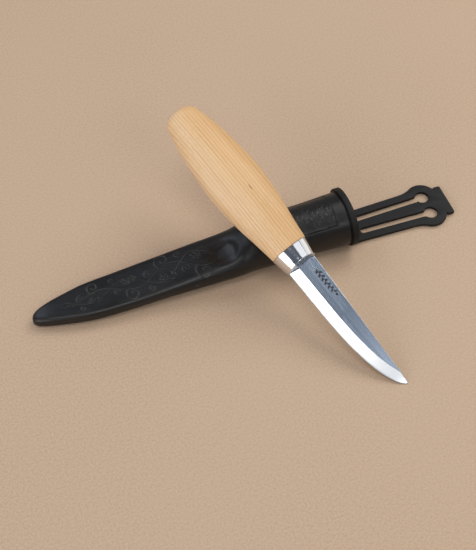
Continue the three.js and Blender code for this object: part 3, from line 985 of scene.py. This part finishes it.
def lip_loops():
    """Round the lip at the barrel's end."""
    loops = []
    for bend in np.linspace(0, math.pi / 2, 6):
        loop = sheath_loop(LIP_X - LIP_ROUND, LIP_ROUND * (1 - math.cos(bend)))
        loop[:, 0] = LIP_X - LIP_ROUND + LIP_ROUND * math.sin(bend)
        loops.append(loop)
    return loops


def neck_loops():
    """The neck that the hanger's ring sits on, and its eased end."""
    loops = [mouth_loop(LIP_X, NECK_INSET), mouth_loop(LIP_X + 0.01, NECK_INSET)]
    loops += [mouth_loop(x, NECK_INSET) for x in np.linspace(LIP_X + 0.3, MOUTH_X - 0.8, 4)]
    loops += [mouth_loop(MOUTH_X - 0.5, NECK_INSET + 0.3), mouth_loop(MOUTH_X - 0.5, HOLLOW_INSET - 0.3)]
    return loops


def hollow_loops():
    """From the mouth back down the hollow."""
    loops = [mouth_loop(x, HOLLOW_INSET) for x in (MOUTH_X - 0.8, LIP_X)]
    loops += [sheath_loop(x, WALL) for x in np.linspace(LIP_X - 6.8, TIP_X + 15, 60)]
    loops += [sheath_loop(x, WALL) for x in np.linspace(TIP_X + 13, TIP_X + 4, 8)]
    return loops


def make_sheath():
    outer = np.array([sheath_loop(x) for x in skin_stations()])
    height, relief = skin_relief(outer)
    skin = outer + skin_normals(outer) * height[..., None]
    points, faces = tube(np.concatenate([skin, np.array(lip_loops() + neck_loops() + hollow_loops())]))
    sheath = mesh_object("sheath", points, faces)
    values = np.zeros(len(points), np.float32)
    values[: relief.size] = relief.ravel()
    attribute = sheath.data.attributes.new("relief", "FLOAT", "POINT")
    attribute.data.foreach_set("value", values)
    finish_piece(sheath, "sheath", ["sheath_body"], SHEATH_PLASTIC, SHEATH, degrees=40)


# ---- the hanger ----

RING_BACK = MOUTH_X - RING_LENGTH
RING_EASE = 0.45
STRAP_BOTTOM, STRAP_THICKNESS = 0.6, 1.8
STRAP_EASE = 0.28
# The strap's plan. s runs along it from the mouth and t across it.
STRAP_START = -1.7
STRAP_NARROW, STRAP_WIDE, STRAP_TAPER = 10.7, 11.9, 41
STRAP_FLARE = ((41.0, -12.0), (43.2, -12.55))
LOBE = 9.3
HEAD_NECK_S, HEAD_NECK_T = 60, 9.1
TAB_HALF, TAB_END = 10.3, 64.3
CORNER_ROUND = 0.95
# A keyhole: its round hole, the throat that opens from it, and the long slot, which leans outwards.
KEY_S, KEY_T, KEY_RADIUS = 51.0, 5.95, 3.95
FLARE_S, FLARE_T, FLARE_EXTRA = 46.6, 5.6, 0.2
THROAT_S, THROAT_T = 45.6, 5.58
SLOT_S, SLOT_T, SLOT_LEAN, SLOT_HALF = 9.25, 4.6, 0.0272, 1.85
SLOT_FROM, SLOT_TO = 10, 44
# Where the strap is cut across into strips.
STRIPS = np.arange(33, 66, 0.8)


def ring_outline():
    """Places and insets along the ring, with both of its rims eased."""
    bends = np.linspace(0, math.pi / 2, 5)
    back = [(RING_BACK + RING_EASE * (1 - math.cos(b)), RING_EASE * (1 - math.sin(b))) for b in bends]
    front = [(MOUTH_X - RING_EASE * (1 - math.sin(b)), RING_EASE * (1 - math.cos(b))) for b in bends]
    return back + front


def strap_half(s):
    return STRAP_NARROW + (STRAP_WIDE - STRAP_NARROW) * s / STRAP_TAPER


def arc(centre, radius, start, end, count):
    """Points on an arc from one angle to another."""
    angles = np.linspace(start, end, count)
    return [(centre[0] + radius * math.cos(a), centre[1] + radius * math.sin(a)) for a in angles]


def rounded(points, radius, count=4):
    """Rounds each corner of an open line of points, except where the line is nearly straight."""
    made = [points[0]]
    for a, b, c in zip(points, points[1:], points[2:]):
        u = np.array(a, float) - b
        v = np.array(c, float) - b
        lu, lv = np.linalg.norm(u), np.linalg.norm(v)
        cut = min(radius, lu * 0.45, lv * 0.45)
        straight = np.dot(u, v) / (lu * lv) < -0.97
        if straight:
            made.append(b)
            continue
        p, q = b + u / lu * cut, b + v / lv * cut
        for t in np.linspace(0, 1, count):
            made.append(tuple((1 - t) ** 2 * p + 2 * t * (1 - t) * np.array(b) + t**2 * q))
    return [*made, points[-1]]


def strap_outline():
    """The strap's edge: its tapered sides, the two lobes round the keyholes and the T-shaped tab."""
    lobe_start = math.radians(126)
    lobe_end = math.acos((HEAD_NECK_S - 0.6 - KEY_S) / LOBE)
    side = [(s, -strap_half(s)) for s in np.linspace(STRAP_START, 38.5, 24)]
    side += [*STRAP_FLARE, *arc((KEY_S, -KEY_T), LOBE, -lobe_start, -lobe_end, 34)]
    neck = [(HEAD_NECK_S, -HEAD_NECK_T), (HEAD_NECK_S, -TAB_HALF)]
    tab = rounded([side[-1], *neck, (TAB_END, -TAB_HALF), (TAB_END, 0)], CORNER_ROUND)
    side += tab[1:]
    return side + [(s, -t) for s, t in reversed(side[:-1])]


def keyhole(side):
    """A round hole with a long slot. side is 1 or -1."""

    def slot_middle(s):
        return side * (SLOT_T + (s - SLOT_S) * SLOT_LEAN)

    meet = math.asin(SLOT_HALF / KEY_RADIUS)
    hole = arc((KEY_S, side * KEY_T), KEY_RADIUS, math.pi + meet, 3 * math.pi - meet, 40)
    hole += [(FLARE_S, side * FLARE_T + SLOT_HALF + FLARE_EXTRA), (THROAT_S, side * THROAT_T + SLOT_HALF)]
    hole += [(s, slot_middle(s) + SLOT_HALF) for s in np.linspace(SLOT_TO, SLOT_FROM, 14)]
    hole += arc((SLOT_S, side * SLOT_T), SLOT_HALF, math.pi / 2, 3 * math.pi / 2, 14)
    hole += [(s, slot_middle(s) - SLOT_HALF) for s in np.linspace(SLOT_FROM, SLOT_TO, 14)]
    hole += [(THROAT_S, side * THROAT_T - SLOT_HALF), (FLARE_S, side * FLARE_T - SLOT_HALF - FLARE_EXTRA)]
    return hole


def strap_plate():
    """The strap's plan with its keyholes, thickened and eased by a flat curve's bevel, as a mesh."""
    curve = bpy.data.curves.new("strap", "CURVE")
    curve.dimensions = "2D"
    curve.fill_mode = "BOTH"
    curve.extrude = (STRAP_THICKNESS / 2 - STRAP_EASE) * MM
    curve.bevel_depth = STRAP_EASE * MM
    curve.bevel_resolution = 2
    curve.offset = -STRAP_EASE * MM
    for line in (strap_outline(), keyhole(1), keyhole(-1)):
        spline = curve.splines.new("POLY")
        spline.points.add(len(line) - 1)
        flat = [(MM * (MOUTH_X + s), MM * t, 0.0, 1.0) for s, t in line]
        spline.points.foreach_set("co", np.array(flat).ravel())
        spline.use_cyclic_u = True
    source = bpy.data.objects.new("strap_source", curve)
    bpy.context.scene.collection.objects.link(source)
    source.location.z = (STRAP_BOTTOM + STRAP_THICKNESS / 2) * MM
    bpy.context.view_layer.update()
    graph = bpy.context.evaluated_depsgraph_get()
    mesh = bpy.data.meshes.new_from_object(source.evaluated_get(graph))
    mesh.transform(source.matrix_world)
    bpy.data.objects.remove(source)
    return mesh


def cut_into_strips(mesh):
    """Joins the mesh's doubled points and cuts it across at each of the STRIPS."""
    work = bmesh.new()
    work.from_mesh(mesh)
    bmesh.ops.remove_doubles(work, verts=work.verts, dist=1e-6)
    for x in STRIPS:
        every = work.verts[:] + work.edges[:] + work.faces[:]
        bmesh.ops.bisect_plane(work, geom=every, dist=1e-7, plane_co=(x * MM, 0, 0), plane_no=(1, 0, 0))
    bmesh.ops.recalc_face_normals(work, faces=work.faces)
    work.to_mesh(mesh)
    work.free()


def make_hanger():
    points, faces = tube([mouth_loop(x, inset, RING_POINTS) for x, inset in ring_outline()])
    hanger = mesh_object("hanger", points, faces)
    mesh = strap_plate()
    strap = bpy.data.objects.new("strap", mesh)
    bpy.context.scene.collection.objects.link(strap)
    cut_into_strips(mesh)
    hanger = combine(hanger, strap, "UNION")
    points, faces = tube([mouth_loop(x, RING_WALL, RING_POINTS) for x in (RING_BACK - 2, MOUTH_X + 2)])
    hanger = combine(hanger, mesh_object("bore", points, faces), "DIFFERENCE")
    nodes = ["hanger_ring", "hanger_strap"]
    finish_piece(hanger, None, nodes, HANGER_PLASTIC, SHEATH, degrees=35)
    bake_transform(hanger)


# ---- floor, lights and camera ----

# The floor is in millimetres, like the pieces, and the rest is in metres.
FLOOR_HALF = 3000
AIM = Vector((-0.02, -0.02, 0.02))
# Name, azimuth and elevation in degrees, width, height, radiance, colour, distance from AIM.
LAMPS = (
    ("key", 30, 49, 1.0, 0.95, 3.5, (1.0, 0.975, 0.94), 1.5),
    ("above_camera", -128, 76, 1.1, 1.0, 3.8, (1.0, 0.99, 0.97), 2.5),
    ("near_side", -74, 44, 0.44, 0.38, 3.6, (0.96, 0.98, 1.0), 1.5),
    ("left", -151, 20, 1.3, 1.0, 2.8, (0.99, 0.99, 1.0), 1.5),
    ("window", 127, 44, 0.75, 0.65, 2.7, (0.72, 0.83, 1.0), 1.5),
    ("right", 8, 20, 1.2, 0.8, 0.7, (1.0, 0.98, 0.95), 1.5),
)
# A level softbox over the right near side: the blade's flat and the ferrule mirror its edge.
LEVEL_LAMP = ("near_right", 0, 90, 0.46, 0.3, 0.88, (0.98, 0.99, 1.0), 1.5)
LEVEL_LAMP_AT = (0.432, -0.226, 0.5)
LEVEL_LAMP_TURN = 25.5
# The world fades from the horizon's colour to the upper one, which it reaches at this height of the sky.
HORIZON = (0.42, 0.4, 0.38, 1)
UPPER_SKY = (0.095, 0.11, 0.14, 1)
UPPER_FROM = 0.6
CAMERA_AT = (-0.165, -0.3509, 0.508)
CAMERA_LOOKS_AT = (-0.0383, -0.0078, 0.0)
SENSOR_WIDTH, LENS = 36, 73.6


def make_floor():
    half = FLOOR_HALF
    corners = [(-half, -half, 0), (half, -half, 0), (half, half, 0), (-half, half, 0)]
    floor = mesh_object("floor", corners, [[0, 1, 2, 3]])
    floor.data.materials.append(paper_floor())


def softbox(name, azimuth, elevation, width, height, radiance, colour, distance):
    """A rectangular lamp that faces AIM and that the camera doesn't see."""
    a, e = math.radians(azimuth), math.radians(elevation)
    towards = Vector((math.cos(a) * math.cos(e), math.sin(a) * math.cos(e), math.sin(e)))
    light = bpy.data.lights.new(name, "AREA")
    light.shape = "RECTANGLE"
    light.size, light.size_y = width, height
    light.energy = radiance * math.pi * width * height
    light.color = colour
    lamp = bpy.data.objects.new(name, light)
    bpy.context.scene.collection.objects.link(lamp)
    lamp.location = AIM + towards * distance
    lamp.rotation_euler = towards.to_track_quat("Z", "Y").to_euler()
    lamp.visible_camera = False
    return lamp


def add_lights():
    for lamp in LAMPS:
        softbox(*lamp)
    level = softbox(*LEVEL_LAMP)
    level.location = LEVEL_LAMP_AT
    level.rotation_euler = (0, 0, math.radians(LEVEL_LAMP_TURN))


def add_world():
    world = bpy.data.worlds.new("studio")
    bpy.context.scene.world = world
    world.use_nodes = True
    tree = world.node_tree
    coordinates = tree.nodes.new("ShaderNodeTexCoord")
    split = tree.nodes.new("ShaderNodeSeparateXYZ")
    tree.links.new(coordinates.outputs["Generated"], split.inputs[0])
    fade = tree.nodes.new("ShaderNodeValToRGB")
    tree.links.new(split.outputs[2], fade.inputs[0])
    low, high = fade.color_ramp.elements
    low.position = 0.0
    low.color = HORIZON
    high.position = UPPER_FROM
    high.color = UPPER_SKY
    background = tree.nodes["Background"]
    tree.links.new(fade.outputs[0], background.inputs[0])
    background.inputs[1].default_value = 1.0


def add_camera():
    data = bpy.data.cameras.new("camera")
    data.sensor_width = SENSOR_WIDTH
    data.lens = LENS
    camera = bpy.data.objects.new("camera", data)
    bpy.context.scene.collection.objects.link(camera)
    camera.location = CAMERA_AT
    look = Vector(CAMERA_LOOKS_AT) - camera.location
    camera.rotation_euler = look.to_track_quat("-Z", "Y").to_euler()
    bpy.context.scene.camera = camera
    bpy.context.scene.view_settings.view_transform = "Standard"


make_blade()
make_mark()
make_ferrule()
make_handle()
make_sheath()
make_hanger()
make_floor()
add_lights()
add_world()
add_camera()
